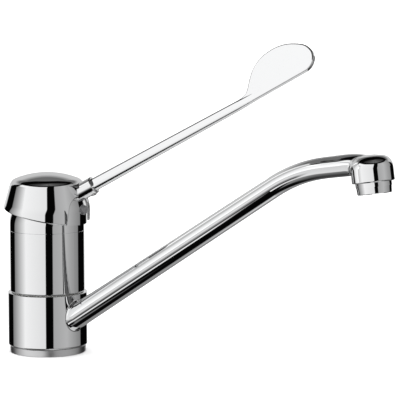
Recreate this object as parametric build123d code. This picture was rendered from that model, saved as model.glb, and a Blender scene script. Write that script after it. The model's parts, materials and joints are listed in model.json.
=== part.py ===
from build123d import *
import math
import os

# Deck-mounted single-lever mixer with a swivel spout and a long elbow lever.
# Millimetres, +Z up. The origin is the centre of the base on the deck, and the
# spout points along +X. The lever frame is the same frame turned by lever_yaw_deg.

# Shared clearances
running_gap = 0.08      # radial play of every turning fit
slide_gap = 0.1         # play of flat running faces
seam = 0.2              # visible seam between two fixed casings
cutter_overrun = 3.0    # how far a cutting tool runs past the face it opens

# The cartridge sets the width of the body, and the body that of its neighbours
cartridge_d = 40.0
body_wall = 5.5
body_d = cartridge_d + 2 * body_wall

# Stem of the body, which the spout collar turns on
stem_shoulder = 5.5
stem_d = body_d - 2 * stem_shoulder
stem_thread_step = 2.0
stem_thread_d = stem_d - 2 * stem_thread_step
slide_ring_width = 4.1
slide_ring_thickness = 1.2
stem_seal_width = 3.0
stem_seal_depth = 2.1
stem_seal_round = 0.7
stem_groove_play = 0.4

# Base ring and its seal
base_ring_width = 5.75
base_ring_d = stem_d + 2 * base_ring_width
base_ring_height = 4.6
base_ring_round = 0.6
base_seal_margin = 2.25
base_seal_width = 3.5
base_seal_thickness = 1.8

# Swivel collar
collar_step = 1.5       # how far it stands out from the body
collar_d = body_d + 2 * collar_step
collar_height = 36.0
collar_rise = 0.4       # gap over the base ring
collar_top_gap = 0.3    # gap under the body's shoulder
collar_round = 0.9
collar_top_round = 0.4
lower_land = 12.5
upper_land = 9.5
chamber_depth = 3.3

# Body
body_height = 41.7
body_edge = 0.12
body_foot_round = 1.0
cartridge_depth = 26.0
nut_wall = 1.2
nut_thread_d = cartridge_d + 2 * nut_wall
nut_thread_depth = 7.0

# Cartridge
cartridge_play = 0.1
port_seal_thickness = 1.8
port_seal_wall = 1.4
cartridge_stand = 0.3   # the seals hold the cartridge this far off its floor
base_flange_thickness = 3.0
base_boss_height = 2.7
base_rim_height = 2.5
base_rim_wall = 2.0
base_pin_d = 2.7
base_pin_length = 2.7
base_pin_inset = 5.5
base_pin_y = cartridge_d / 2 - base_pin_inset
housing_wall = 2.5
housing_top_thickness = 2.9
housing_neck_step = 1.0
housing_neck_d = cartridge_d - 2 * housing_neck_step
housing_neck_height = 5.4
fixed_disc_d = cartridge_d - 2 * (housing_wall + slide_gap + base_rim_wall)
fixed_disc_thickness = 5.0
disc_port_d = 6.4
disc_film = 0.02
moving_disc_margin = 2.6
moving_disc_d = fixed_disc_d - 2 * moving_disc_margin
moving_disc_thickness = 3.98
mixing_pocket_end_wall = 7.3
mixing_pocket_side_wall = 5.3
mixing_pocket_length = moving_disc_d - 2 * mixing_pocket_end_wall
mixing_pocket_width = moving_disc_d - 2 * mixing_pocket_side_wall
mixing_pocket_depth = 2.2
mixing_pocket_round_share = 0.27
mixing_pocket_back = 3.0
carrier_height = 7.0
carrier_flat_inset = 1.8
carrier_width = moving_disc_d - 2 * carrier_flat_inset
carrier_play = 0.15
carrier_peg_d = 2.0
carrier_peg_length = 1.6
carrier_peg_inset = 1.6
carrier_peg_y = carrier_width / 2 - carrier_peg_inset
rotor_skirt = 5.65
rotor_flange_thickness = 3.25
rotor_neck_d = 21.6
rotor_neck_above_pivot = 4.0
rotor_lug_reach = 2.9
rotor_lug_height = 1.4
rotor_lug_half_deg = 8.0
swivel_half_deg = 50.0
stop_play_deg = 0.5
nut_lip_thickness = 2.6
nut_lip_gap = 1.6
nut_lip_d = rotor_neck_d + 2 * nut_lip_gap
nut_notch_width = 4.0
nut_notch_depth = 1.6
nut_notch_reach = 3.0
nut_notch_count = 6

# Waterways in the body
port_inset = 5.9        # from the edge of the fixed disc to the middle of a port
port_circle_r = fixed_disc_d / 2 - port_inset
inlet_turn_deg = 57.5
inlet_x = port_circle_r * math.cos(math.radians(inlet_turn_deg))
inlet_y = port_circle_r * math.sin(math.radians(inlet_turn_deg))
inlet_port_d = 7.0
inlet_thread_d = 9.0
inlet_thread_depth = 13.0
outlet_x = -port_circle_r
outlet_port_d = 8.0
side_port_d = 9.0
stud_inset = 7.0
stud_x = stud_inset - stem_thread_d / 2
stud_core_d = 6.8
stud_depth = 14.0

# Pivot of the lever
pivot_rise = 2.6        # height of the pivot pin over the housing
pivot_pin_d = 3.0
pivot_pin_short = 0.3
lever_yaw_deg = 18.5        # the lever at rest, turned from the spout
spindle_lean_deg = 12.5     # lean of the spindle towards the lever at rest
spindle_side = 8.0
spindle_hub_d = 8.4
spindle_play = 0.15
spindle_head_length = 24.0
spindle_head_edge = 0.8
spindle_arm = 11.0
spindle_arm_d = 4.0
spindle_ball_d = 5.6
spindle_slot_half = 7.0
ball_play = 0.1
ball_pocket_depth = 5.0

# Trim ring over the cartridge nut
trim_rise = 8.0
trim_opening_gap = 2.8
trim_opening_d = nut_lip_d + 2 * trim_opening_gap
trim_top_thickness = 2.0
trim_step = 0.7
trim_gap = 0.05

# Handle cap
cap_wall = 3.4
cap_clearance = 0.7     # between the cap and the body under it
cap_d = body_d + 2 * (cap_clearance + cap_wall)
cap_roof = 3.4
cap_straight_rise = 10.4
cap_bend_round = 14.0     # where the straight side turns into the taper
cap_cone_height = 15.6
cap_taper = 4.4
cap_rim_d = cap_d - 2 * cap_taper
cap_crown_step = 3.8
cap_crown_d = cap_rim_d - 2 * cap_crown_step
cap_crown_rise = 4.2
cap_dome = 4.1
cap_skirt_rise = 5.1
cap_skirt_slope_deg = 11.0
cap_skirt_round = 1.0
cap_hub_d = 17.0
cap_hub_rise = 9.0
cap_socket_play = 0.05

# Recess in the cap below the lever, with its plug and fixing screw
recess_depth = 2.3
recess_rise = 19.2      # its flat top, over the pivot
recess_side_margin = 12.4
recess_foot_half = cap_d / 2 - recess_side_margin
recess_flare = 2.6
recess_top_half = recess_foot_half - recess_flare
recess_corner_round = 12.0
recess_round = 0.5
recess_cove = 1.0        # where its wall meets its floor
plug_d = 6.4
plug_length = 3.7
plug_proud = 2.1
plug_round = 0.5
screw_rise = 15.5
screw_d = 6.0
screw_length = 5.0
screw_socket = 3.0
screw_socket_depth = 2.4

# Elbow lever
lever_incline_deg = 28.2
lever_axis_rise = 8.1   # the lever's axis crosses the tap's axis this far over the pivot
boss_d = 11.8
boss_length = 11.0      # how far it runs out past the cap's side
boss_end = cap_d / 2 + boss_length
boss_round = 0.8
boss_start = 9.0
spigot_d = 8.0
spigot_length = 15.0
spigot_play = 0.05
arm_root_width = 9.0
arm_root_thickness = 6.4
arm_root_round = 2.9
arm_neck_width = 7.0
arm_neck_thickness = 4.0
arm_neck_round = 1.85
arm_neck_at = 158.0
arm_blend_length = 16.0
arm_blend_width = 5.2
arm_blend_thickness = 3.0
arm_blend_round = 0.9
paddle_length = 60.8
paddle_width = 28.6
paddle_thickness = 3.2
paddle_corner_round = 9.0
paddle_round = 0.9
paddle_lean_deg = 25.0      # lean of the paddle's face from the vertical
lock_screw_d = 4.0
lock_screw_back = 3.6
lock_screw_proud = 0.5
lock_screw_bite = 0.8
lock_screw_socket = 2.0
lock_screw_socket_depth = 1.2

# Shares of the paddle's length and width, from the neck round to the lower edge
paddle_start_shares = (0.0, 0.235)
paddle_outline_shares = [
    (0.075, 0.252), (0.125, 0.30), (0.168, 0.412), (0.22, 0.597), (0.282, 0.765), (0.378, 0.912),
    (0.494, 0.985), (0.61, 0.992), (0.742, 0.93), (0.872, 0.782), (0.962, 0.60),
]
paddle_nose_shares = (0.995, 0.41)
paddle_corner_shares = (0.995, 0.06)
paddle_foot_shares = (0.0, 0.02)
paddle_pull_shares = (0.5, 0.5)     # how firmly the curve leaves the neck and meets the nose

# Spout
spout_rise = 5.3        # its axis crosses the tap's axis this far over the collar's foot
spout_incline_deg = 30.4
spout_end_incline_deg = 8.7
spout_bend_radius = 112.5
spout_reach = 270.6
spout_end_run = 33.3
spout_drop_run = 18.0   # the last part of the run turns down into the nozzle
spout_drop_radius = 60.0
spout_root_d = 16.4
spout_bend_d = 13.2
spout_end_d = 13.4
spout_wall = 1.7
spout_root_round = 1.4
spout_spigot_wall = 1.0

# Nozzle and aerator, measured down the nozzle's axis from the spout's axis
nozzle_d = 25.8
nozzle_below = 11.6
nozzle_above = 4.9
nozzle_shoulder = 7.1
nozzle_crown = 0.8
nozzle_edge = 0.9
nozzle_neck_round = 3.0
nozzle_roof = 3.7
nozzle_chamber_d = 18.4
thread_d = 21.2
thread_length = 7.0
aerator_top_d = 21.9
aerator_band = 2.6
aerator_step = 0.3
aerator_bottom_d = 20.6
aerator_height = 6.9
aerator_edge = 0.4
aerator_seal_thickness = 0.8
aerator_wall = 1.4
aerator_lip = 0.7
aerator_lip_height = 1.4
insert_play = 0.05
insert_wall = 1.2
insert_floor = 2.0
insert_drop = 0.6       # the insert's rim stays this far under the thread's end
insert_hole_d = 1.9
insert_ring_step = 3.3
insert_ring_counts = [1, 6, 12]
screen_thickness = 0.5
screen_hole_d = 1.2
screen_ring_step = 2.2
screen_ring_counts = [1, 6, 12, 18]

# Heights worked out from the sizes above
collar_bottom = base_ring_height + collar_rise
collar_top = collar_bottom + collar_height
shoulder_z = collar_top + collar_top_gap
body_top = shoulder_z + body_height
chamber_low = collar_bottom + lower_land
chamber_high = collar_top - upper_land
chamber_mid = (chamber_low + chamber_high) / 2
floor_z = body_top - cartridge_depth
flange_low = floor_z + cartridge_stand
flange_top = flange_low + base_flange_thickness
base_top = flange_top + base_boss_height
disc_joint = base_top + fixed_disc_thickness
moving_low = disc_joint + disc_film
carrier_low = moving_low + moving_disc_thickness
carrier_top = carrier_low + carrier_height
rotor_low = carrier_top + carrier_play
rotor_top = rotor_low + rotor_flange_thickness
housing_ceiling = rotor_top + slide_gap
housing_top = housing_ceiling + housing_top_thickness
housing_shoulder = housing_top - housing_neck_height
nut_top = housing_top + nut_lip_thickness
pivot_z = housing_top + pivot_rise
trim_low = body_top + trim_gap
trim_top = pivot_z + trim_rise
cap_straight_z = pivot_z + cap_straight_rise
cap_rim_z = cap_straight_z + cap_cone_height
cap_crown_z = cap_rim_z + cap_crown_rise
skirt_z = pivot_z + cap_skirt_rise

# Radii worked out from the sizes above
stem_r = stem_d / 2
collar_r = collar_d / 2
body_r = body_d / 2
collar_bore_r = stem_r + running_gap
chamber_r = stem_r + running_gap + chamber_depth
slide_ring_bore_r = stem_r + slide_gap
slide_ring_r = slide_ring_bore_r + slide_ring_width
groove_r = stem_r - stem_seal_depth
cartridge_r = cartridge_d / 2
housing_r = cartridge_r - housing_wall
nut_r = nut_thread_d / 2
neck_r = rotor_neck_d / 2
cap_r = cap_d / 2
slot_half = spindle_side / 2 + spindle_play
spout_root_r = spout_root_d / 2
spout_bend_r = spout_bend_d / 2
spout_end_r = spout_end_d / 2
spigot_r = spigot_d / 2
boss_r = boss_d / 2

# Middles of the two seal lands on the stem
lower_seal_z = (base_ring_height + slide_ring_thickness + slide_gap + chamber_low) / 2
upper_seal_z = (chamber_high + shoulder_z - slide_ring_thickness - slide_gap) / 2

# Frames
lever_turn = Rot(0, 0, lever_yaw_deg)
spindle_frame = Pos(0, 0, pivot_z) * Rot(0, spindle_lean_deg, 0)
screw_frame = spindle_frame * Pos(0, 0, screw_rise) * Rot(0, 90, 0)
stop_turn = Rot(0, 0, 90)   # the stop lug is at the side, clear of the spindle's slot
incline = math.radians(lever_incline_deg)
lean = math.radians(paddle_lean_deg)
arm_dir = Vector(math.cos(incline), 0, math.sin(incline))
arm_up = Vector(-math.sin(incline), 0, math.cos(incline))
arm_side = Vector(0, 1, 0)
paddle_across = arm_up * math.cos(lean) + arm_side * math.sin(lean)
paddle_normal = arm_up * math.sin(lean) - arm_side * math.cos(lean)
arm_origin = Vector(0, 0, pivot_z + lever_axis_rise)

# The spout's line: a straight rise, a bend and a straight end over the nozzle
rise_angle = math.radians(spout_incline_deg)
end_angle = math.radians(spout_end_incline_deg)
rise_dir = Vector(math.cos(rise_angle), 0, math.sin(rise_angle))
end_dir = Vector(math.cos(end_angle), 0, math.sin(end_angle))
bend_end_x = spout_reach - spout_end_run * end_dir.X
bend_start_x = bend_end_x - spout_bend_radius * (rise_dir.Z - end_dir.Z)
spout_foot = Vector(0, 0, collar_bottom + spout_rise)
bend_start = spout_foot + rise_dir * (bend_start_x / rise_dir.X)
bend_centre = bend_start + Vector(rise_dir.Z, 0, -rise_dir.X) * spout_bend_radius
bend_end = bend_centre + Vector(-end_dir.Z, 0, end_dir.X) * spout_bend_radius
drop_start = bend_end + end_dir * (spout_end_run - spout_drop_run)
drop_centre = drop_start + Vector(end_dir.Z, 0, -end_dir.X) * spout_drop_radius
drop_turn_deg = math.degrees(math.asin(spout_drop_run / spout_drop_radius))
nozzle_point = bend_end + end_dir * spout_end_run
nozzle_frame = Pos(nozzle_point.X, 0, nozzle_point.Z) * Rot(0, -spout_end_incline_deg, 0)


def column(radius, low, high):
    """Upright solid cylinder between two heights."""
    return Pos(0, 0, low) * Cylinder(radius, high - low, align=(Align.CENTER, Align.CENTER, Align.MIN))


def ring(outer_r, inner_r, low, high):
    """Upright ring between two heights."""
    return column(outer_r, low, high) - column(inner_r, low - cutter_overrun, high + cutter_overrun)


def turned(outline):
    """Solid of revolution about Z of a closed outline of (radius, height) points."""
    return revolve(Plane.XZ * make_face(Polyline(*outline, close=True)), Axis.Z)


def sector(outer_r, inner_r, low, high, half_deg):
    """Part of an upright ring, as wide as twice half_deg and centred on +X."""
    outline = [(inner_r, low), (outer_r, low), (outer_r, high), (inner_r, high)]
    face = Plane.XZ * make_face(Polyline(*outline, close=True))
    return Rot(0, 0, -half_deg) * revolve(face, Axis.Z, 2 * half_deg)


def taper(start, end, start_r, end_r):
    """Solid cone or cylinder from one point to another."""
    along = end - start
    frame = Plane(origin=start, z_dir=along.normalized())
    if start_r == end_r:
        blank = Cylinder(start_r, along.length, align=(Align.CENTER, Align.CENTER, Align.MIN))
    else:
        blank = Cone(start_r, end_r, along.length, align=(Align.CENTER, Align.CENTER, Align.MIN))
    return frame.location * blank


def circles_at(shape, height, low_r, high_r):
    """Round edges of a solid at one height, between two radii."""
    picked = []
    for edge in shape.edges().filter_by(GeomType.CIRCLE):
        level = abs(edge.center().Z - height) < seam / 2
        if level and low_r < edge.radius < high_r:
            picked.append(edge)
    return picked


def hex_socket(across_flats, depth):
    """Hexagonal cutter that opens at the origin and goes down along -Z."""
    size = across_flats / math.sqrt(3)
    prism = extrude(RegularPolygon(size, 6), depth + cutter_overrun)
    return Pos(0, 0, -depth) * prism


# Base and body

def make_base_ring():
    outer_r = base_ring_d / 2
    blank = ring(outer_r, stem_thread_d / 2, 0, base_ring_height)
    blank = fillet(circles_at(blank, base_ring_height, stem_r, outer_r + seam), base_ring_round)
    seal_r = base_ring_d / 2 - base_seal_margin
    groove = ring(seal_r, seal_r - base_seal_width, -cutter_overrun, base_seal_thickness)
    return blank - groove


def make_base_seal():
    seal_r = base_ring_d / 2 - base_seal_margin
    return ring(seal_r, seal_r - base_seal_width, 0, base_seal_thickness)


def make_valve_body():
    thread_r = stem_thread_d / 2
    bore_r = cartridge_r + cartridge_play
    outline = [
        (0, 0), (thread_r, 0), (thread_r, base_ring_height), (stem_r, base_ring_height),
        (stem_r, shoulder_z), (body_r, shoulder_z), (body_r, body_top), (nut_r, body_top),
        (nut_r, body_top - nut_thread_depth), (bore_r, body_top - nut_thread_depth),
        (bore_r, floor_z), (0, floor_z),
    ]
    body = turned(outline)
    body = chamfer(circles_at(body, body_top, nut_r + seam, body_r + seam), body_edge)
    body = fillet(circles_at(body, shoulder_z, stem_r + seam, body_r + seam), body_foot_round)
    groove_half = (stem_seal_width + stem_groove_play) / 2
    for middle in (lower_seal_z, upper_seal_z):
        body -= ring(stem_r + cutter_overrun, groove_r, middle - groove_half, middle + groove_half)
    for side in (-1, 1):
        place = Pos(inlet_x, side * inlet_y, 0)
        body -= place * column(inlet_port_d / 2, 0, floor_z + cutter_overrun)
        body -= place * column(inlet_thread_d / 2, -cutter_overrun, inlet_thread_depth)
        pin_low = flange_low - base_pin_length - slide_gap
        body -= Pos(0, side * base_pin_y, 0) * column(base_pin_d / 2 + slide_gap, pin_low, floor_z + seam)
    body -= Pos(outlet_x, 0, 0) * column(outlet_port_d / 2, chamber_mid, floor_z + cutter_overrun)
    body -= taper(
        Vector(outlet_x, 0, chamber_mid),
        Vector(-stem_r - cutter_overrun, 0, chamber_mid),
        side_port_d / 2,
        side_port_d / 2,
    )
    body -= Pos(stud_x, 0, 0) * column(stud_core_d / 2, -cutter_overrun, stud_depth)
    return body


def make_stem_seal(middle):
    low = middle - stem_seal_width / 2
    seal = ring(stem_r + running_gap / 2, groove_r, low, low + stem_seal_width)
    return fillet(seal.edges().filter_by(GeomType.CIRCLE), stem_seal_round)


def make_slide_ring(low):
    return ring(slide_ring_r, slide_ring_bore_r, low, low + slide_ring_thickness)


# Cartridge

def port_places():
    """Places of the two inlets and the outlet, with the radius of each port."""
    return [
        (Pos(inlet_x, inlet_y, 0), inlet_port_d / 2),
        (Pos(inlet_x, -inlet_y, 0), inlet_port_d / 2),
        (Pos(outlet_x, 0, 0), outlet_port_d / 2),
    ]


def make_port_seals():
    seals = [
        place * ring(port_r + port_seal_wall, port_r, floor_z, floor_z + port_seal_thickness)
        for place, port_r in port_places()
    ]
    return Compound(children=[seal.solid() for seal in seals])


def make_cartridge_base():
    boss_r = housing_r - slide_gap
    base = column(cartridge_r, flange_low, flange_top)
    base += column(boss_r, flange_top, base_top)
    base += ring(boss_r, fixed_disc_d / 2, base_top, base_top + base_rim_height)
    for place, port_r in port_places():
        base -= place * column(port_r, flange_low - cutter_overrun, base_top + cutter_overrun)
        seat_top = floor_z + port_seal_thickness
        base -= place * column(port_r + port_seal_wall, flange_low - cutter_overrun, seat_top)
    for side in (-1, 1):
        pin = column(base_pin_d / 2, flange_low - base_pin_length, flange_low)
        base += Pos(0, side * base_pin_y, 0) * pin
    return base


def make_cartridge_housing():
    opening_r = neck_r + running_gap
    housing = column(cartridge_r, flange_top, housing_shoulder)
    housing += column(housing_neck_d / 2, housing_shoulder, housing_top)
    housing -= column(housing_r, flange_top - cutter_overrun, housing_ceiling)
    housing -= column(opening_r, housing_ceiling - cutter_overrun, housing_top + cutter_overrun)
    stop_deg = swivel_half_deg + rotor_lug_half_deg + stop_play_deg
    stop_top = rotor_top + rotor_lug_height + slide_gap
    stop_r = neck_r + rotor_lug_reach + slide_gap
    stop = sector(stop_r, opening_r - seam, housing_ceiling - seam, stop_top, stop_deg)
    return housing - stop_turn * stop


def make_fixed_disc():
    disc = column(fixed_disc_d / 2, base_top, disc_joint)
    for place, port_r in port_places():
        disc -= place * column(disc_port_d / 2, base_top - cutter_overrun, disc_joint + cutter_overrun)
    return disc


def carrier_shift():
    """Place of the disc carrier at rest, behind the axis as the spindle's foot is."""
    return Pos(-spindle_arm * math.sin(math.radians(spindle_lean_deg)), 0, 0)


def make_moving_disc():
    disc = column(moving_disc_d / 2, moving_low, carrier_low)
    pocket = extrude(
        RectangleRounded(
            mixing_pocket_length, mixing_pocket_width, mixing_pocket_round_share * mixing_pocket_length
        ),
        mixing_pocket_depth + cutter_overrun,
    )
    disc -= Pos(-mixing_pocket_back, 0, moving_low - cutter_overrun) * pocket
    for side in (-1, 1):
        peg_low = carrier_low - carrier_peg_length - slide_gap
        peg_r = carrier_peg_d / 2 + slide_gap
        disc -= Pos(0, side * carrier_peg_y, 0) * column(peg_r, peg_low, carrier_low + cutter_overrun)
    return carrier_shift() * disc


def make_disc_carrier():
    carrier = column(moving_disc_d / 2, carrier_low, carrier_top)
    carrier &= Pos(0, 0, carrier_low) * Box(
        moving_disc_d, carrier_width, carrier_height, align=(Align.CENTER, Align.CENTER, Align.MIN)
    )
    pocket_side = spindle_ball_d + 2 * ball_play
    carrier -= Pos(0, 0, carrier_top - ball_pocket_depth) * Box(
        pocket_side, pocket_side, ball_pocket_depth + cutter_overrun,
        align=(Align.CENTER, Align.CENTER, Align.MIN),
    )
    for side in (-1, 1):
        peg = column(carrier_peg_d / 2, carrier_low - carrier_peg_length, carrier_low)
        carrier += Pos(0, side * carrier_peg_y, 0) * peg
    return carrier_shift() * carrier


def make_cartridge_rotor():
    flange_r = housing_r - running_gap
    skirt_low = rotor_low - rotor_skirt
    neck_top = pivot_z + rotor_neck_above_pivot
    rotor = column(flange_r, skirt_low, rotor_top) + column(neck_r, rotor_top, neck_top)
    lug_r = neck_r + rotor_lug_reach
    lug = sector(lug_r, neck_r - seam, rotor_top - seam, rotor_top + rotor_lug_height, rotor_lug_half_deg)
    rotor += stop_turn * lug
    guide_width = carrier_width + 2 * carrier_play
    rotor -= Pos(0, 0, skirt_low - cutter_overrun) * Box(
        2 * cartridge_d, guide_width, rotor_skirt + cutter_overrun,
        align=(Align.CENTER, Align.CENTER, Align.MIN),
    )
    rotor -= Pos(0, 0, rotor_low - cutter_overrun) * Box(
        2 * spindle_slot_half, 2 * slot_half, rotor_flange_thickness + 2 * cutter_overrun,
        align=(Align.CENTER, Align.CENTER, Align.MIN),
    )
    rotor -= Pos(0, 0, rotor_top) * Box(
        cartridge_d, 2 * slot_half, neck_top - rotor_top + cutter_overrun,
        align=(Align.CENTER, Align.CENTER, Align.MIN),
    )
    pin_hole = Pos(0, 0, pivot_z) * Rot(90, 0, 0) * Cylinder(pivot_pin_d / 2, cartridge_d)
    return rotor - pin_hole


def make_pivot_pin():
    length = 2 * (neck_r - pivot_pin_short)
    return Pos(0, 0, pivot_z) * Rot(90, 0, 0) * Cylinder(pivot_pin_d / 2, length)


def make_cartridge_nut():
    low = body_top - nut_thread_depth + seam
    nut = column(nut_r, low, nut_top)
    nut -= column(cartridge_r + cartridge_play, low - cutter_overrun, housing_shoulder + seam)
    nut -= column(housing_neck_d / 2 + cartridge_play, housing_shoulder, housing_top)
    nut -= column(nut_lip_d / 2, housing_top - seam, nut_top + cutter_overrun)
    notch = Pos(nut_lip_d / 2, 0, nut_top) * Box(2 * nut_notch_reach, nut_notch_width, 2 * nut_notch_depth)
    for turn in range(nut_notch_count):
        nut -= Rot(0, 0, turn * 360 / nut_notch_count) * notch
    return nut


def make_trim_ring():
    top_r = math.sqrt(body_r ** 2 - trim_rise ** 2)
    half_rise = math.asin(trim_rise / body_r) / 2
    middle = (body_r * math.cos(half_rise), pivot_z + body_r * math.sin(half_rise))
    opening_r = trim_opening_d / 2
    cavity_r = nut_r - trim_step
    ceiling = trim_top - trim_top_thickness
    outline = Polyline(
        (top_r, trim_top), (opening_r, trim_top), (opening_r, ceiling), (cavity_r, ceiling),
        (cavity_r, nut_top), (nut_r, nut_top), (nut_r, trim_low), (body_r, trim_low), (body_r, pivot_z),
    )
    crown = ThreePointArc((body_r, pivot_z), middle, (top_r, trim_top))
    trim = revolve(Plane.XZ * make_face(outline + crown), Axis.Z)
    return chamfer(circles_at(trim, trim_low, nut_r + seam, body_r + seam), body_edge)


# Lever group, made with the lever over +X and turned into place at the end

def make_spindle():
    head = Box(
        spindle_side, spindle_side, spindle_head_length, align=(Align.CENTER, Align.CENTER, Align.MIN)
    )
    head = chamfer(head.faces().sort_by(Axis.Z)[-1].edges(), spindle_head_edge)
    hub = Rot(90, 0, 0) * Cylinder(spindle_hub_d / 2, spindle_side)
    arm = Pos(0, 0, -spindle_arm) * Cylinder(
        spindle_arm_d / 2, spindle_arm, align=(Align.CENTER, Align.CENTER, Align.MIN)
    )
    ball = Pos(0, 0, -spindle_arm) * Sphere(spindle_ball_d / 2)
    spindle = head + hub + arm + ball
    spindle -= Rot(90, 0, 0) * Cylinder(pivot_pin_d / 2 + running_gap, cartridge_d)
    return spindle_frame * spindle


def cap_form(inset, roof, low):
    """Turned form of the cap, with its wall drawn in by inset and its roof lowered by roof."""
    side_r = cap_r - inset
    rim_r = cap_rim_d / 2 - inset
    crown_r = cap_crown_d / 2 - inset
    rim_z = cap_rim_z - roof
    crown_z = cap_crown_z - roof
    apex_z = crown_z + cap_dome
    wall = Polyline((0, apex_z), (0, low), (side_r, low))
    wall += FilletPolyline((side_r, low), (side_r, cap_straight_z), (rim_r, rim_z), radius=cap_bend_round)
    lean_in = (rim_r - side_r, rim_z - cap_straight_z)
    shoulder = TangentArc((rim_r, rim_z), (crown_r, crown_z), tangent=lean_in)
    dome_r = (crown_r ** 2 + cap_dome ** 2) / (2 * cap_dome)
    half = math.asin(crown_r / dome_r) / 2
    middle = (dome_r * math.sin(half), apex_z - dome_r * (1 - math.cos(half)))
    dome = ThreePointArc((crown_r, crown_z), middle, (0, apex_z))
    return revolve(Plane.XZ * make_face(wall + shoulder + dome), Axis.Z)


def cap_outer_radius(height):
    """Radius of the cap's outer wall at a height between its skirt and its rim."""
    share = max(0, height - cap_straight_z) / cap_cone_height
    return cap_r - share * (cap_d - cap_rim_d) / 2


def skirt_cutter():
    """Everything below the slanted lower edge of the cap."""
    block = Box(3 * cap_d, 3 * cap_d, cap_d, align=(Align.CENTER, Align.CENTER, Align.MAX))
    return Pos(0, 0, skirt_z) * Rot(0, cap_skirt_slope_deg, 0) * block


def recess_prism():
    """Arch-shaped prism on the lever side of the cap, running on below the skirt."""
    foot_half = recess_foot_half + recess_flare * cap_r / recess_rise
    outline = Polyline(
        (recess_top_half, pivot_z + recess_rise), (foot_half, pivot_z - cap_r), (-foot_half, pivot_z - cap_r),
        (-recess_top_half, pivot_z + recess_rise), close=True,
    )
    face = make_face(outline)
    face = fillet(face.vertices().group_by(Axis.Y)[-1], recess_corner_round)
    return extrude(Plane.YZ * face, cap_d)


def along_arm(distance):
    """Point on the lever's axis."""
    return arm_origin + arm_dir * distance


def plug_seat():
    """How far out along the fixing screw's axis the floor of the recess is."""
    tilt = math.radians(spindle_lean_deg)
    return (cap_r - recess_depth - screw_rise * math.sin(tilt)) / math.cos(tilt)


def lock_screw_place(distance):
    """Frame on the lever's underside, at a distance from the lever's axis, with Z pointing away from it."""
    point = along_arm(boss_end - lock_screw_back) - arm_up * distance
    return Plane(origin=point, x_dir=arm_dir, z_dir=-arm_up).location


def rod(radius, low, high):
    """Solid cylinder along Z of the current frame, from low to high."""
    return Pos(0, 0, low) * Cylinder(radius, high - low, align=(Align.CENTER, Align.CENTER, Align.MIN))


def arch_edges(shape, inset):
    """Edges of the arch that lie on the cap's form drawn in by inset."""
    picked = []
    for edge in shape.edges():
        middle = edge.position_at(1 / 2)
        reach = math.hypot(middle.X, middle.Y)
        under_top = middle.Z < pivot_z + recess_rise + seam
        in_arch = middle.X > 0 and abs(middle.Y) < cap_r - cap_wall and under_top
        on_form = abs(reach - cap_outer_radius(middle.Z) + inset) < seam
        if in_arch and on_form and middle.Z > pivot_z - cap_r + seam:
            picked.append(edge)
    return picked


def skirt_level(point):
    """Height of a point over the plane of the cap's slanted lower edge."""
    slope = math.radians(cap_skirt_slope_deg)
    return (point.Z - skirt_z) * math.cos(slope) + point.X * math.sin(slope)


def make_cap_shell():
    """Outer form of the cap, with its recess and its rounded lower edge."""
    low = pivot_z - cap_r
    recess = recess_prism() - cap_form(recess_depth, 0, low - cutter_overrun)
    recess = fillet(arch_edges(recess, recess_depth), recess_cove)
    shell = cap_form(0, 0, low) - recess
    shell = fillet(arch_edges(shell, 0), recess_round)
    trimmed = cap_form(0, 0, low) - skirt_cutter()
    skirt_edges = []
    for edge in trimmed.edges():
        points = [edge.position_at(share) for share in (0, 1 / 2, 1)]
        if all(abs(skirt_level(point)) < seam / 2 for point in points):
            skirt_edges.append(edge)
    return shell & fillet(skirt_edges, cap_skirt_round)


def make_handle_cap():
    low = pivot_z - cap_r
    boss = taper(along_arm(boss_start), along_arm(boss_end), boss_r, boss_r)
    tip = boss.edges().filter_by(GeomType.CIRCLE).sort_by(Axis.X)[-1]
    boss = fillet(tip, boss_round)
    hub = spindle_frame * rod(cap_hub_d / 2, cap_hub_rise, cap_d)
    cavity = cap_form(cap_wall, cap_roof, low - cutter_overrun)
    cap = make_cap_shell() + boss
    cap -= cavity - hub - boss
    socket_side = spindle_side + 2 * cap_socket_play
    socket = Pos(0, 0, cap_hub_rise - cutter_overrun) * Box(
        socket_side, socket_side, spindle_head_length + seam - cap_hub_rise + cutter_overrun,
        align=(Align.CENTER, Align.CENTER, Align.MIN),
    )
    cap -= spindle_frame * socket
    cap -= screw_frame * rod(screw_d / 2, 0, cap_hub_d)
    cap -= screw_frame * rod(plug_d / 2, cap_hub_d / 2, cap_d)
    cap -= taper(
        along_arm(boss_end - spigot_length),
        along_arm(boss_end + cutter_overrun),
        spigot_r + spigot_play,
        spigot_r + spigot_play,
    )
    cap -= lock_screw_place(0) * rod(lock_screw_d / 2, 0, boss_d)
    return cap


def make_handle_screw():
    start = spindle_side / 2
    screw = rod(screw_d / 2, start, start + screw_length)
    screw -= Pos(0, 0, start + screw_length) * hex_socket(screw_socket, screw_socket_depth)
    return screw_frame * screw


def make_screw_plug():
    end = plug_seat() + plug_proud
    plug = rod(plug_d / 2, end - plug_length, end)
    plug = fillet(plug.edges().filter_by(GeomType.CIRCLE).sort_by(Axis.Z)[-1], plug_round)
    return screw_frame * plug


def arm_section(distance, width, thickness, rounding):
    """Rounded cross-section of the lever, turned as the paddle is."""
    plane = Plane(origin=along_arm(distance), x_dir=paddle_across, z_dir=arm_dir)
    return plane * RectangleRounded(width, thickness, rounding)


def paddle_point(shares):
    """Point of the paddle's outline from its shares of length and width."""
    along, across = shares
    return (along * paddle_length, across * paddle_width - arm_neck_width / 2)


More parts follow.
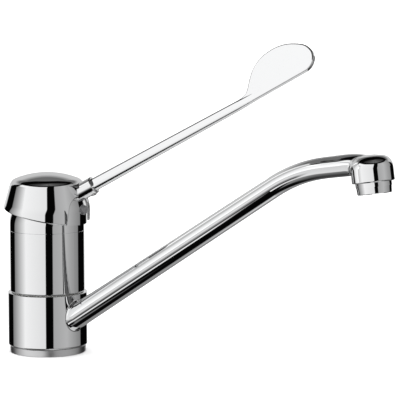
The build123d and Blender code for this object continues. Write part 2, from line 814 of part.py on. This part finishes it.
def make_paddle():
    start = paddle_point(paddle_start_shares)
    nose = paddle_point(paddle_nose_shares)
    corner = paddle_point(paddle_corner_shares)
    foot = paddle_point(paddle_foot_shares)
    points = [paddle_point(shares) for shares in paddle_outline_shares]
    upper = Spline(start, *points, nose, tangents=[(1, 0), (0, -1)], tangent_scalars=paddle_pull_shares)
    lower = FilletPolyline(nose, corner, foot, radius=paddle_corner_round)
    outline = upper + lower + Line(foot, start)
    plane = Plane(origin=along_arm(arm_neck_at), x_dir=arm_dir, z_dir=paddle_normal)
    plate = extrude(plane * make_face(outline), paddle_thickness / 2, both=True)
    long_edges = []
    for edge in plate.edges():
        run = edge.position_at(1) - edge.position_at(0)
        ahead = (edge.position_at(1 / 2) - along_arm(arm_neck_at)).dot(arm_dir)
        if abs(run.dot(paddle_normal)) < paddle_thickness / 2 and ahead > seam:
            long_edges.append(edge)
    return fillet(long_edges, paddle_round)


def make_lever_arm():
    root = arm_section(boss_end, arm_root_width, arm_root_thickness, arm_root_round)
    neck = arm_section(arm_neck_at, arm_neck_width, arm_neck_thickness, arm_neck_round)
    melt = arm_section(arm_neck_at + arm_blend_length, arm_blend_width, arm_blend_thickness, arm_blend_round)
    arm = loft([root, neck], ruled=True) + loft([neck, melt], ruled=True) + make_paddle()
    arm += taper(along_arm(boss_end - spigot_length + seam), along_arm(boss_end), spigot_r, spigot_r)
    dimple = lock_screw_place(0) * rod(lock_screw_d / 2 + spigot_play, spigot_r - lock_screw_bite, boss_d)
    return arm - dimple


def make_arm_lock_screw():
    start = spigot_r - lock_screw_bite
    end = boss_r + lock_screw_proud
    screw = rod(lock_screw_d / 2, start, end)
    screw -= Pos(0, 0, end) * hex_socket(lock_screw_socket, lock_screw_socket_depth)
    return lock_screw_place(0) * screw


# Spout group

def make_spout_collar():
    outline = [
        (collar_bore_r, collar_bottom), (collar_r, collar_bottom), (collar_r, collar_top),
        (collar_bore_r, collar_top), (collar_bore_r, chamber_high), (chamber_r, chamber_high),
        (chamber_r, chamber_low), (collar_bore_r, chamber_low),
    ]
    collar = turned(outline)
    collar = fillet(circles_at(collar, collar_bottom, collar_r - seam, collar_r + seam), collar_round)
    collar = fillet(circles_at(collar, collar_top, collar_r - seam, collar_r + seam), collar_top_round)
    ring_r = slide_ring_r + slide_gap
    collar -= column(ring_r, 0, base_ring_height + slide_ring_thickness + slide_gap)
    collar -= column(ring_r, shoulder_z - slide_ring_thickness - slide_gap, body_top)
    return collar - spout_spigot()


def spout_spigot():
    """Plug of the spout's foot in the collar's wall, with no bore."""
    outer_r = spout_root_r - spout_wall + spout_spigot_wall
    plug = taper(spout_foot, spout_foot + rise_dir * (collar_r / rise_dir.X), outer_r, outer_r)
    plug &= column(collar_r, 0, body_top)
    return plug - column(chamber_r, 0, body_top)


def spout_line(inset):
    """The spout's rise, bend, end and drop, each drawn in by inset."""
    reach = bend_start_x / rise_dir.X
    root_slope = (spout_root_r - spout_bend_r) / (reach - collar_r / rise_dir.X)
    foot_r = spout_bend_r + root_slope * reach
    rise = taper(spout_foot, bend_start, foot_r - inset, spout_bend_r - inset)
    section = Plane(origin=bend_start, x_dir=(0, 1, 0), z_dir=rise_dir) * Circle(spout_bend_r - inset)
    turn = spout_incline_deg - spout_end_incline_deg
    bend = revolve(section, Axis(bend_centre, (0, 1, 0)), turn)
    end = taper(bend_end, drop_start, spout_bend_r - inset, spout_end_r - inset)
    tip = Plane(origin=drop_start, x_dir=(0, 1, 0), z_dir=end_dir) * Circle(spout_end_r - inset)
    drop = revolve(tip, Axis(drop_centre, (0, 1, 0)), drop_turn_deg)
    return rise + bend + end + drop


def make_nozzle_cup():
    """The cup around the nozzle's axis, closed below."""
    radius = nozzle_d / 2
    flat_r = radius - nozzle_shoulder
    flat_z = nozzle_above - nozzle_crown
    side_z = flat_z - nozzle_shoulder
    diagonal = nozzle_shoulder / math.sqrt(2)
    wall = Polyline((0, nozzle_above), (0, -nozzle_below), (radius, -nozzle_below), (radius, side_z))
    shoulder = ThreePointArc((radius, side_z), (flat_r + diagonal, side_z + diagonal), (flat_r, flat_z))
    crown_r = (flat_r ** 2 + nozzle_crown ** 2) / (2 * nozzle_crown)
    half = math.asin(flat_r / crown_r) / 2
    middle = (crown_r * math.sin(half), nozzle_above - crown_r * (1 - math.cos(half)))
    crown = ThreePointArc((flat_r, flat_z), middle, (0, nozzle_above))
    cup = revolve(Plane.XZ * make_face(wall + shoulder + crown), Axis.Z)
    return fillet(circles_at(cup, -nozzle_below, radius - seam, radius + seam), nozzle_edge)


def make_spout_tube():
    core = column(collar_r, collar_bottom, collar_top)
    outer = core + spout_line(0)
    root_edges = []
    for edge in outer.edges():
        middle = edge.position_at(1 / 2)
        on_collar = abs(math.hypot(middle.X, middle.Y) - collar_r) < seam
        if on_collar and collar_bottom + seam < middle.Z < collar_top - seam and middle.X > 0:
            root_edges.append(edge)
    outer = fillet(root_edges, spout_root_round)
    cup = nozzle_frame * make_nozzle_cup()
    whole = outer + cup
    whole = fillet(new_edges(outer, cup, combined=whole), nozzle_neck_round)
    tube = whole - column(collar_r, 0, body_top)
    tube += spout_spigot()
    tube -= spout_line(spout_wall)
    thread_top = thread_length + aerator_seal_thickness - nozzle_below
    roof_z = nozzle_above - nozzle_roof
    tube -= nozzle_frame * column(nozzle_chamber_d / 2, -nozzle_below - cutter_overrun, roof_z)
    tube -= nozzle_frame * column(thread_d / 2, -nozzle_below - cutter_overrun, thread_top)
    return tube


def aerator_bore_r():
    """Inner radius of the aerator's housing."""
    return aerator_bottom_d / 2 - aerator_wall


def make_aerator_housing():
    top_r = aerator_top_d / 2
    bottom_r = aerator_bottom_d / 2
    foot = -nozzle_below - aerator_height
    band = -nozzle_below - aerator_band
    outline = [
        (0, foot), (bottom_r, foot), (top_r - aerator_step, band), (top_r, band), (top_r, -nozzle_below),
        (thread_d / 2, -nozzle_below), (thread_d / 2, thread_length - nozzle_below),
        (0, thread_length - nozzle_below),
    ]
    housing = turned(outline)
    housing = chamfer(circles_at(housing, foot, bottom_r - seam, bottom_r + seam), aerator_edge)
    housing -= column(aerator_bore_r(), foot + aerator_lip_height, thread_length)
    housing -= column(aerator_bore_r() - aerator_lip, foot - cutter_overrun, 0)
    return nozzle_frame * housing


def make_aerator_seal():
    low = thread_length - nozzle_below
    return nozzle_frame * ring(thread_d / 2, aerator_bore_r(), low, low + aerator_seal_thickness)


def perforated(radius, low, high, hole_d, ring_step, ring_counts):
    """Round plate with holes on rings about its centre."""
    plate = column(radius, low, high)
    holes = []
    for index, count in enumerate(ring_counts):
        for turn in range(count):
            place = Rot(0, 0, turn * 360 / count) * Pos(index * ring_step, 0, 0)
            holes.append(place * column(hole_d / 2, low - cutter_overrun, high + cutter_overrun))
    return plate - holes


def make_aerator_insert():
    radius = aerator_bore_r() - insert_play
    low = aerator_lip_height - nozzle_below - aerator_height
    rim = thread_length - nozzle_below - insert_drop
    floor = perforated(radius, low, low + insert_floor, insert_hole_d, insert_ring_step, insert_ring_counts)
    wall = ring(radius, radius - insert_wall, low + insert_floor, rim)
    return nozzle_frame * (floor + wall)


def make_aerator_screen():
    radius = aerator_bore_r() - insert_play
    low = thread_length - nozzle_below - insert_drop
    screen = perforated(
        radius, low, low + screen_thickness, screen_hole_d, screen_ring_step, screen_ring_counts
    )
    return nozzle_frame * screen


fixed_parts = {
    "base_ring": make_base_ring,
    "base_seal": make_base_seal,
    "valve_body": make_valve_body,
    "cartridge_base": make_cartridge_base,
    "port_seals": make_port_seals,
    "cartridge_housing": make_cartridge_housing,
    "fixed_disc": make_fixed_disc,
    "cartridge_nut": make_cartridge_nut,
    "trim_ring": make_trim_ring,
    "spout_collar": make_spout_collar,
    "spout_tube": make_spout_tube,
    "aerator_housing": make_aerator_housing,
    "aerator_seal": make_aerator_seal,
    "aerator_insert": make_aerator_insert,
    "aerator_screen": make_aerator_screen,
}
lever_parts = {
    "cartridge_rotor": make_cartridge_rotor,
    "pivot_pin": make_pivot_pin,
    "disc_carrier": make_disc_carrier,
    "moving_disc": make_moving_disc,
    "spindle": make_spindle,
    "handle_cap": make_handle_cap,
    "handle_screw": make_handle_screw,
    "screw_plug": make_screw_plug,
    "lever_arm": make_lever_arm,
    "arm_lock_screw": make_arm_lock_screw,
}

shapes = {name: make() for name, make in fixed_parts.items()}
shapes.update({name: lever_turn * make() for name, make in lever_parts.items()})
shapes["spout_seal_lower"] = make_stem_seal(lower_seal_z)
shapes["spout_seal_upper"] = make_stem_seal(upper_seal_z)
shapes["lower_slide_ring"] = make_slide_ring(base_ring_height)
shapes["upper_slide_ring"] = make_slide_ring(shoulder_z - slide_ring_thickness)

os.makedirs("parts", exist_ok=True)
for name, shape in shapes.items():
    export_step(shape, f"parts/{name}.step")
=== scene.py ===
import json
import math

import bpy
from mathutils import Matrix, Vector

# The elbow lever tap in a white studio: every solid comes from the frame and gets its finish here.
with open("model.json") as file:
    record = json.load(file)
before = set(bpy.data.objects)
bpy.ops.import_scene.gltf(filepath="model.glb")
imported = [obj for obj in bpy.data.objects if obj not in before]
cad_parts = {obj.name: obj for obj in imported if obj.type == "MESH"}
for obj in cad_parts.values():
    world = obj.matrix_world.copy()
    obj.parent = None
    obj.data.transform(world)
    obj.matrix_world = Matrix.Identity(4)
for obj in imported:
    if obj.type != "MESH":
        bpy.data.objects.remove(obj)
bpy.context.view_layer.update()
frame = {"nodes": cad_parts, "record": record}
nodes = frame["nodes"]
print("frame loaded with", len(nodes), "solids")


def setSockets(node, values):
    for name, value in values.items():
        node.inputs[name].default_value = value


def newMaterial(name):
    material = bpy.data.materials.new(name)
    material.use_nodes = True
    tree = material.node_tree
    tree.nodes.clear()
    output = tree.nodes.new("ShaderNodeOutputMaterial")
    shader = tree.nodes.new("ShaderNodeBsdfPrincipled")
    tree.links.new(shader.outputs["BSDF"], output.inputs["Surface"])
    return material, tree, shader


def newGroup(name, inputs, outputs):
    group = bpy.data.node_groups.new(name, "ShaderNodeTree")
    for label, value in inputs.items():
        socket = group.interface.new_socket(name=label, in_out="INPUT", socket_type="NodeSocketFloat")
        socket.default_value = value
    for label in outputs:
        group.interface.new_socket(name=label, in_out="OUTPUT", socket_type="NodeSocketFloat")
    return group, group.nodes.new("NodeGroupInput"), group.nodes.new("NodeGroupOutput")


def calculate(tree, operation, *values):
    node = tree.nodes.new("ShaderNodeMath")
    node.operation = operation
    for index, value in enumerate(values):
        if isinstance(value, (int, float)):
            node.inputs[index].default_value = value
        else:
            tree.links.new(value, node.inputs[index])
    return node.outputs[0]


def remap(tree, value, fromRange, toRange, smooth=False):
    node = tree.nodes.new("ShaderNodeMapRange")
    node.interpolation_type = "SMOOTHSTEP" if smooth else "LINEAR"
    for name, item in zip(("From Min", "From Max", "To Min", "To Max"), (*fromRange, *toRange)):
        if isinstance(item, (int, float)):
            node.inputs[name].default_value = item
        else:
            tree.links.new(item, node.inputs[name])
    tree.links.new(value, node.inputs["Value"])
    return node.outputs["Result"]


def noise(tree, vector, values, scale=None):
    node = tree.nodes.new("ShaderNodeTexNoise")
    setSockets(node, values)
    tree.links.new(vector, node.inputs["Vector"])
    if scale is not None:
        tree.links.new(scale, node.inputs["Scale"])
    return node.outputs["Fac"]


# Polished metal: faint wipe marks in the gloss, and the slow waviness of a cast, plated wall.
wipeSettings = {
    "smear": {"Scale": 45.0, "Detail": 5.0, "Roughness": 0.6, "Distortion": 1.2}, "smearRange": (0.45, 0.85),
    "speck": {"Scale": 900.0, "Detail": 2.0, "Roughness": 0.5}, "speckRange": (0.62, 0.8), "speckShare": 0.35,
    "wave": {"Scale": 28.0, "Detail": 1.0, "Roughness": 0.3},
}


def makeWipeMarks():
    group, source, target = newGroup(
        "wipeMarks",
        {"Gloss": 0.02, "Smear": 0.04, "Wave": 1.0},
        ("Roughness", "Height"),
    )
    place = group.nodes.new("ShaderNodeTexCoord").outputs["Object"]
    smear = remap(group, noise(group, place, wipeSettings["smear"]), wipeSettings["smearRange"], (0.0, 1.0))
    speck = noise(group, place, wipeSettings["speck"])
    speck = remap(group, speck, wipeSettings["speckRange"], (0.0, wipeSettings["speckShare"]))
    marks = calculate(group, "ADD", smear, speck)
    gloss = calculate(group, "MULTIPLY_ADD", marks, source.outputs["Smear"], source.outputs["Gloss"])
    group.links.new(gloss, target.inputs["Roughness"])
    wave = calculate(group, "MULTIPLY", noise(group, place, wipeSettings["wave"]), source.outputs["Wave"])
    group.links.new(wave, target.inputs["Height"])
    return group


# Turned or ground metal: fine lines that run round the tap's axis.
turnedSettings = {
    "turnPitch": 1.5,
    "lines": {"Scale": 1.0, "Detail": 3.0, "Roughness": 0.65}, "linesShare": 0.6,
    "patch": {"Scale": 120.0, "Detail": 3.0, "Roughness": 0.55}, "patchShare": 0.4,
}


def makeTurnedLines():
    group, source, target = newGroup(
        "turnedLines",
        {"Pitch": 2500.0, "Roughness": 0.3, "Spread": 0.15},
        ("Roughness", "Height", "Shade"),
    )
    place = group.nodes.new("ShaderNodeTexCoord").outputs["Object"]
    split = group.nodes.new("ShaderNodeSeparateXYZ")
    group.links.new(place, split.inputs["Vector"])
    flat = calculate(group, "MULTIPLY", split.outputs["X"], split.outputs["X"])
    flat = calculate(group, "MULTIPLY_ADD", split.outputs["Y"], split.outputs["Y"], flat)
    radius = calculate(group, "MULTIPLY", calculate(group, "SQRT", flat), source.outputs["Pitch"])
    height = calculate(group, "MULTIPLY", split.outputs["Z"], source.outputs["Pitch"])
    turn = calculate(group, "ARCTAN2", split.outputs["Y"], split.outputs["X"])
    run = group.nodes.new("ShaderNodeCombineXYZ")
    group.links.new(radius, run.inputs["X"])
    group.links.new(height, run.inputs["Y"])
    group.links.new(calculate(group, "MULTIPLY", turn, turnedSettings["turnPitch"]), run.inputs["Z"])
    lines = noise(group, run.outputs["Vector"], turnedSettings["lines"])
    patch = noise(group, place, turnedSettings["patch"])
    shade = calculate(group, "MULTIPLY", lines, turnedSettings["linesShare"])
    shade = calculate(group, "MULTIPLY_ADD", patch, turnedSettings["patchShare"], shade)
    rough = calculate(group, "MULTIPLY_ADD", shade, source.outputs["Spread"], source.outputs["Roughness"])
    group.links.new(rough, target.inputs["Roughness"])
    group.links.new(lines, target.inputs["Height"])
    group.links.new(shade, target.inputs["Shade"])
    return group


# Moulded plastic, rubber and ceramic: the fine grain of the mould, with handling marks and a little dust.
mouldSettings = {
    "grain": {"Detail": 2.0, "Roughness": 0.6},
    "handled": {"Scale": 90.0, "Detail": 4.0, "Roughness": 0.6, "Distortion": 0.6}, "handledShare": 0.65,
    "dust": {"Scale": 1500.0, "Detail": 1.0, "Roughness": 0.5}, "dustRange": (0.66, 0.78), "dustShare": 0.35,
}


def makeMouldGrain():
    group, source, target = newGroup(
        "mouldGrain",
        {"Grain": 2600.0, "Roughness": 0.4, "Spread": 0.15},
        ("Roughness", "Height", "Shade"),
    )
    place = group.nodes.new("ShaderNodeTexCoord").outputs["Object"]
    grain = noise(group, place, mouldSettings["grain"], source.outputs["Grain"])
    handled = noise(group, place, mouldSettings["handled"])
    dust = remap(group, noise(group, place, mouldSettings["dust"]), mouldSettings["dustRange"], (0.0, 1.0))
    shade = calculate(group, "MULTIPLY", handled, mouldSettings["handledShare"])
    shade = calculate(group, "MULTIPLY_ADD", dust, mouldSettings["dustShare"], shade)
    rough = calculate(group, "MULTIPLY_ADD", shade, source.outputs["Spread"], source.outputs["Roughness"])
    group.links.new(rough, target.inputs["Roughness"])
    group.links.new(grain, target.inputs["Height"])
    group.links.new(shade, target.inputs["Shade"])
    return group


effects = {"wipeMarks": makeWipeMarks(), "turnedLines": makeTurnedLines(), "mouldGrain": makeMouldGrain()}
print("surface effects made:", ", ".join(effects))

# One finish for each material slot of the tap; bump is in metres.
finishes = {
    "chrome": {
        "effect": "wipeMarks", "marks": {"Gloss": 0.018, "Smear": 0.035, "Wave": 1.0}, "bump": 0.00002,
        "colour": (0.900, 0.904, 0.910), "metallic": 1.0,
    },
    "steel": {
        "effect": "wipeMarks", "marks": {"Gloss": 0.2, "Smear": 0.2, "Wave": 1.0}, "bump": 0.00001,
        "colour": (0.56, 0.555, 0.55), "metallic": 1.0,
    },
    "satin_steel": {
        "effect": "turnedLines", "marks": {"Pitch": 2200.0, "Roughness": 0.26, "Spread": 0.16}, "bump": 0.00001,
        "colour": (0.74, 0.74, 0.745), "worn": (0.86, 0.86, 0.865), "metallic": 1.0,
    },
    "nut_brass": {
        "effect": "turnedLines", "marks": {"Pitch": 1600.0, "Roughness": 0.22, "Spread": 0.2}, "bump": 0.00002,
        "colour": (0.62, 0.43, 0.17), "worn": (0.80, 0.62, 0.32), "metallic": 1.0,
    },
    "black_rubber": {
        "effect": "mouldGrain", "marks": {"Grain": 3200.0, "Roughness": 0.62, "Spread": 0.25}, "bump": 0.00003,
        "colour": (0.012, 0.012, 0.013), "worn": (0.05, 0.05, 0.052), "metallic": 0.0,
    },
    "white_acetal": {
        "effect": "mouldGrain", "marks": {"Grain": 2200.0, "Roughness": 0.36, "Spread": 0.2}, "bump": 0.00001,
        "colour": (0.80, 0.80, 0.77), "worn": (0.68, 0.67, 0.62), "metallic": 0.0,
    },
    "disc_ceramic": {
        "effect": "mouldGrain", "marks": {"Grain": 5200.0, "Roughness": 0.12, "Spread": 0.18}, "bump": 0.000004,
        "colour": (0.86, 0.84, 0.80), "worn": (0.76, 0.73, 0.68), "metallic": 0.0,
    },
    "grey_plug": {
        "effect": "mouldGrain", "marks": {"Grain": 2600.0, "Roughness": 0.3, "Spread": 0.2}, "bump": 0.00001,
        "colour": (0.10, 0.10, 0.105), "worn": (0.17, 0.17, 0.175), "metallic": 0.0,
    },
}


def makeFinish(slot, finish):
    material, tree, shader = newMaterial(slot)
    setSockets(shader, {"Base Color": (*finish["colour"], 1.0), "Metallic": finish["metallic"]})
    effect = tree.nodes.new("ShaderNodeGroup")
    effect.node_tree = effects[finish["effect"]]
    setSockets(effect, finish["marks"])
    tree.links.new(effect.outputs["Roughness"], shader.inputs["Roughness"])
    bump = tree.nodes.new("ShaderNodeBump")
    setSockets(bump, {"Strength": 1.0, "Distance": finish["bump"]})
    tree.links.new(effect.outputs["Height"], bump.inputs["Height"])
    tree.links.new(bump.outputs["Normal"], shader.inputs["Normal"])
    if "worn" in finish:
        mix = tree.nodes.new("ShaderNodeMix")
        mix.data_type = "RGBA"
        mix.inputs["A"].default_value = (*finish["colour"], 1.0)
        mix.inputs["B"].default_value = (*finish["worn"], 1.0)
        tree.links.new(effect.outputs["Shade"], mix.inputs["Factor"])
        tree.links.new(mix.outputs["Result"], shader.inputs["Base Color"])
    return material


materials = {slot: makeFinish(slot, finish) for slot, finish in finishes.items()}
for subpart in frame["record"]["subparts"]:
    slots = nodes[subpart["node"]].data.materials
    slots.clear()
    slots.append(materials[subpart["material_slot"]])

# The studio that the chrome shows. Turns are in degrees from the camera, rightwards, or from straight behind the
# tap where rear is true; rises are over the horizon. An edge leans by slant degrees for each degree of rise.
# Levels are display brightness at the panel's low left, low right, high left and high right corners.
studio = {
    "cameraTurn": -49.0,
    "dark": 12,
    "fullLevel": 255,
    "gamma": 2.2,
    "chromeShare": 0.9,      # how much light the chrome gives back
    "backdrop": (1.0, 1.0, 1.0),
}
panels = [
    {"name": "rearWall", "rear": True, "turn": (-33, 38), "slant": (-1.2, 1.13), "rise": (-16, 13),
     "levels": (240, 240, 200, 197), "soft": (3, 4)},
    {"name": "rearWallUpper", "rear": True, "turn": (-33, 38), "slant": (-1.2, 1.13), "rise": (12, 28),
     "levels": (197, 197, 188, 188), "soft": (3, 1)},
    {"name": "rearWallTop", "rear": True, "turn": (-33, 38), "slant": (-1.2, 1.13), "rise": (27, 38),
     "levels": (188, 188, 108, 108), "soft": (3, 1)},
    {"name": "rearCeiling", "rear": True, "turn": (-170, 178), "slant": (2.75, -2.75), "rise": (37, 51),
     "levels": (105, 105, 105, 105), "soft": (3, 2)},
    {"name": "rearFloorLeft", "rear": True, "turn": (0, 38), "slant": (0, 0), "rise": (-62, -17),
     "levels": (50, 50, 120, 120), "soft": (3, 4)},
    {"name": "rearFloorRight", "rear": True, "turn": (-38, 0), "slant": (0, 0), "rise": (-80, -17),
     "levels": (190, 120, 80, 140), "soft": (3, 4)},
    {"name": "keyFalloff", "turn": (-110.3, -64), "slant": (0.52, 0), "rise": (-50, 38),
     "levels": (120, 240, 122, 242), "soft": (1.5, 2)},
    {"name": "keyBox", "turn": (-66, 0.3), "slant": (0, 0.17), "rise": (-19, 38),
     "levels": (238, 218, 243, 228), "soft": (1, 2)},
    {"name": "keyTop", "turn": (-96, -62), "slant": (0, 0), "rise": (22, 38),
     "levels": (238, 244, 246, 250), "soft": (3, 3)},
    {"name": "keySide", "turn": (-105, -74), "slant": (0, 0), "rise": (-50, -16),
     "levels": (215, 228, 165, 215), "soft": (3, 4)},
    {"name": "keyFoot", "turn": (-76, 0.3), "slant": (0, 0.17), "rise": (-40, -17),
     "levels": (25, 20, 236, 226), "soft": (2, 3)},
    {"name": "lowLeft", "turn": (-148, -74), "slant": (0, 0), "rise": (-70, -49),
     "levels": (40, 125, 80, 135), "soft": (4, 3)},
    {"name": "rightBox", "turn": (22.0, 62), "slant": (0.22, 0), "rise": (-20, 41),
     "levels": (160, 176, 165, 182), "soft": (1.5, 2)},
    {"name": "rightFar", "turn": (60, 113), "slant": (0, 0), "rise": (-20, 42),
     "levels": (176, 122, 182, 140), "soft": (1, 2)},
    {"name": "rightFoot", "turn": (22.0, 113), "slant": (0.22, 0), "rise": (-52, -18),
     "levels": (100, 70, 165, 122), "soft": (2, 3)},
    {"name": "ceilingLeft", "turn": (-78, 15), "slant": (0, 0), "rise": (50, 84),
     "levels": (45, 105, 35, 95), "soft": (6, 3)},
    {"name": "ceilingRight", "turn": (15, 106), "slant": (0, 0), "rise": (50, 84),
     "levels": (105, 50, 95, 45), "soft": (6, 3)},
    {"name": "floorGlow", "turn": (-12, 165), "slant": (0, 0), "rise": (-95, -54),
     "levels": (205, 215, 205, 195), "soft": (5, 3)},
]


def edgeMask(tree, value, edge, soft, rising):
    offset = calculate(tree, "SUBTRACT", value, edge)
    return remap(tree, offset, (-soft, soft), (0.0, 1.0) if rising else (1.0, 0.0), smooth=True)


def paintPanel(tree, below, turn, rise, panel):
    left, right = (calculate(tree, "MULTIPLY_ADD", rise, slant, edge)
                   for slant, edge in zip(panel["slant"], panel["turn"]))
    low, high = panel["rise"]
    softTurn, softRise = panel["soft"]
    mask = edgeMask(tree, turn, left, softTurn, True)
    mask = calculate(tree, "MULTIPLY", mask, edgeMask(tree, turn, right, softTurn, False))
    mask = calculate(tree, "MULTIPLY", mask, edgeMask(tree, rise, low, softRise, True))
    mask = calculate(tree, "MULTIPLY", mask, edgeMask(tree, rise, high, softRise, False))
    across = remap(tree, turn, (left, right), (0.0, 1.0))
    lowLeft, lowRight, highLeft, highRight = (level / studio["fullLevel"] for level in panel["levels"])
    lower = calculate(tree, "MULTIPLY_ADD", across, lowRight - lowLeft, lowLeft)
    upper = calculate(tree, "MULTIPLY_ADD", across, highRight - highLeft, highLeft)
    level = remap(tree, rise, (low, high), (lower, upper))
    step = calculate(tree, "SUBTRACT", level, below)
    return calculate(tree, "MULTIPLY_ADD", step, mask, below)


def wrapTurn(tree, turn):
    return calculate(tree, "WRAP", turn, 180.0, -180.0)


def makeStudio():
    world = bpy.data.worlds.new("studio")
    bpy.context.scene.world = world
    world.use_nodes = True
    tree = world.node_tree
    tree.nodes.clear()
    split = tree.nodes.new("ShaderNodeSeparateXYZ")
    tree.links.new(tree.nodes.new("ShaderNodeTexCoord").outputs["Generated"], split.inputs["Vector"])
    turn = calculate(tree, "ARCTAN2", split.outputs["Y"], split.outputs["X"])
    turn = calculate(tree, "SUBTRACT", calculate(tree, "DEGREES", turn), studio["cameraTurn"])
    turn = wrapTurn(tree, turn)
    rearTurn = wrapTurn(tree, calculate(tree, "ADD", turn, 180.0))
    rise = calculate(tree, "DEGREES", calculate(tree, "ARCSINE", split.outputs["Z"]))
    level = studio["dark"] / studio["fullLevel"]
    for panel in panels:
        level = paintPanel(tree, level, rearTurn if panel.get("rear") else turn, rise, panel)
    light = calculate(tree, "DIVIDE", calculate(tree, "POWER", level, studio["gamma"]), studio["chromeShare"])
    room = tree.nodes.new("ShaderNodeBackground")
    tree.links.new(light, room.inputs["Color"])
    backdrop = tree.nodes.new("ShaderNodeBackground")
    setSockets(backdrop, {"Color": (*studio["backdrop"], 1.0)})
    mix = tree.nodes.new("ShaderNodeMixShader")
    tree.links.new(tree.nodes.new("ShaderNodeLightPath").outputs["Is Camera Ray"], mix.inputs["Fac"])
    tree.links.new(room.outputs[0], mix.inputs[1])
    tree.links.new(backdrop.outputs[0], mix.inputs[2])
    tree.links.new(mix.outputs[0], tree.nodes.new("ShaderNodeOutputWorld").inputs["Surface"])


makeStudio()
print("studio lit with", len(panels), "panels")

floorSettings = {"half": 40.0, "drop": 0.0002, "colour": (0.95, 0.95, 0.95), "roughness": 0.9}


def makeFloor():
    half = floorSettings["half"]
    corners = [(-half, -half, 0), (half, -half, 0), (half, half, 0), (-half, half, 0)]
    mesh = bpy.data.meshes.new("floor")
    mesh.from_pydata(corners, [], [(0, 1, 2, 3)])
    floor = bpy.data.objects.new("floor", mesh)
    bpy.context.scene.collection.objects.link(floor)
    floor.location.z = -floorSettings["drop"]
    material, _, shader = newMaterial("floorPaint")
    setSockets(shader, {"Base Color": (*floorSettings["colour"], 1.0), "Roughness": floorSettings["roughness"]})
    mesh.materials.append(material)
    floor.visible_glossy = False     # the chrome sees the panels instead


lampSettings = {"energy": 5.0, "angle": 120.0}


def makeLamp():
    sun = bpy.data.lights.new("overhead", "SUN")
    sun.energy = lampSettings["energy"]
    sun.angle = math.radians(lampSettings["angle"])
    lamp = bpy.data.objects.new("overhead", sun)
    lamp.visible_glossy = False
    bpy.context.scene.collection.objects.link(lamp)


# A soft box behind and beside the tap that lights the spout alone, for the white band along its upper side.
# It stands at a distance from the target, and its width runs along the second direction.
spoutBox = {
    "target": (0.12, 0.0, 0.095), "toward": (-0.839, -0.498, 0.216), "along": (-0.443, 0.396, -0.803),
    "distance": 1.0, "size": (0.75, 1.07), "level": 0.42, "wattsPerArea": 4.0, "lit": "spout_tube",
}


def makeSpoutBox():
    width, height = spoutBox["size"]
    light = bpy.data.lights.new("spoutBox", "AREA")
    light.shape = "RECTANGLE"
    light.size = width
    light.size_y = height
    light.energy = spoutBox["wattsPerArea"] * width * height * spoutBox["level"]
    box = bpy.data.objects.new("spoutBox", light)
    front = Vector(spoutBox["toward"]).normalized()
    side = Vector(spoutBox["along"])
    side = (side - front * side.dot(front)).normalized()
    turn = Matrix((side, front.cross(side), front)).transposed()
    place = Vector(spoutBox["target"]) + front * spoutBox["distance"]
    box.matrix_world = Matrix.Translation(place) @ turn.to_4x4()
    bpy.context.scene.collection.objects.link(box)
    box.visible_camera = False
    receivers = bpy.data.collections.new("spoutBoxLit")
    receivers.objects.link(nodes[spoutBox["lit"]])
    box.light_linking.receiver_collection = receivers


makeFloor()
makeLamp()
makeSpoutBox()
print("floor, lamp and spout box placed")

cameraSettings = {"place": (0.9619, -0.9484, 0.2569), "turn": 41.0, "tilt": 6.51, "lens": 180.0, "sensor": 36.0}


def makeCamera():
    data = bpy.data.cameras.new("camera")
    data.lens = cameraSettings["lens"]
    data.sensor_width = cameraSettings["sensor"]
    camera = bpy.data.objects.new("camera", data)
    camera.location = cameraSettings["place"]
    upright = 90.0 - cameraSettings["tilt"]
    camera.rotation_euler = (math.radians(upright), 0, math.radians(cameraSettings["turn"]))
    bpy.context.scene.collection.objects.link(camera)
    bpy.context.scene.camera = camera
    bpy.context.scene.view_settings.view_transform = "Standard"


makeCamera()
print("camera placed")
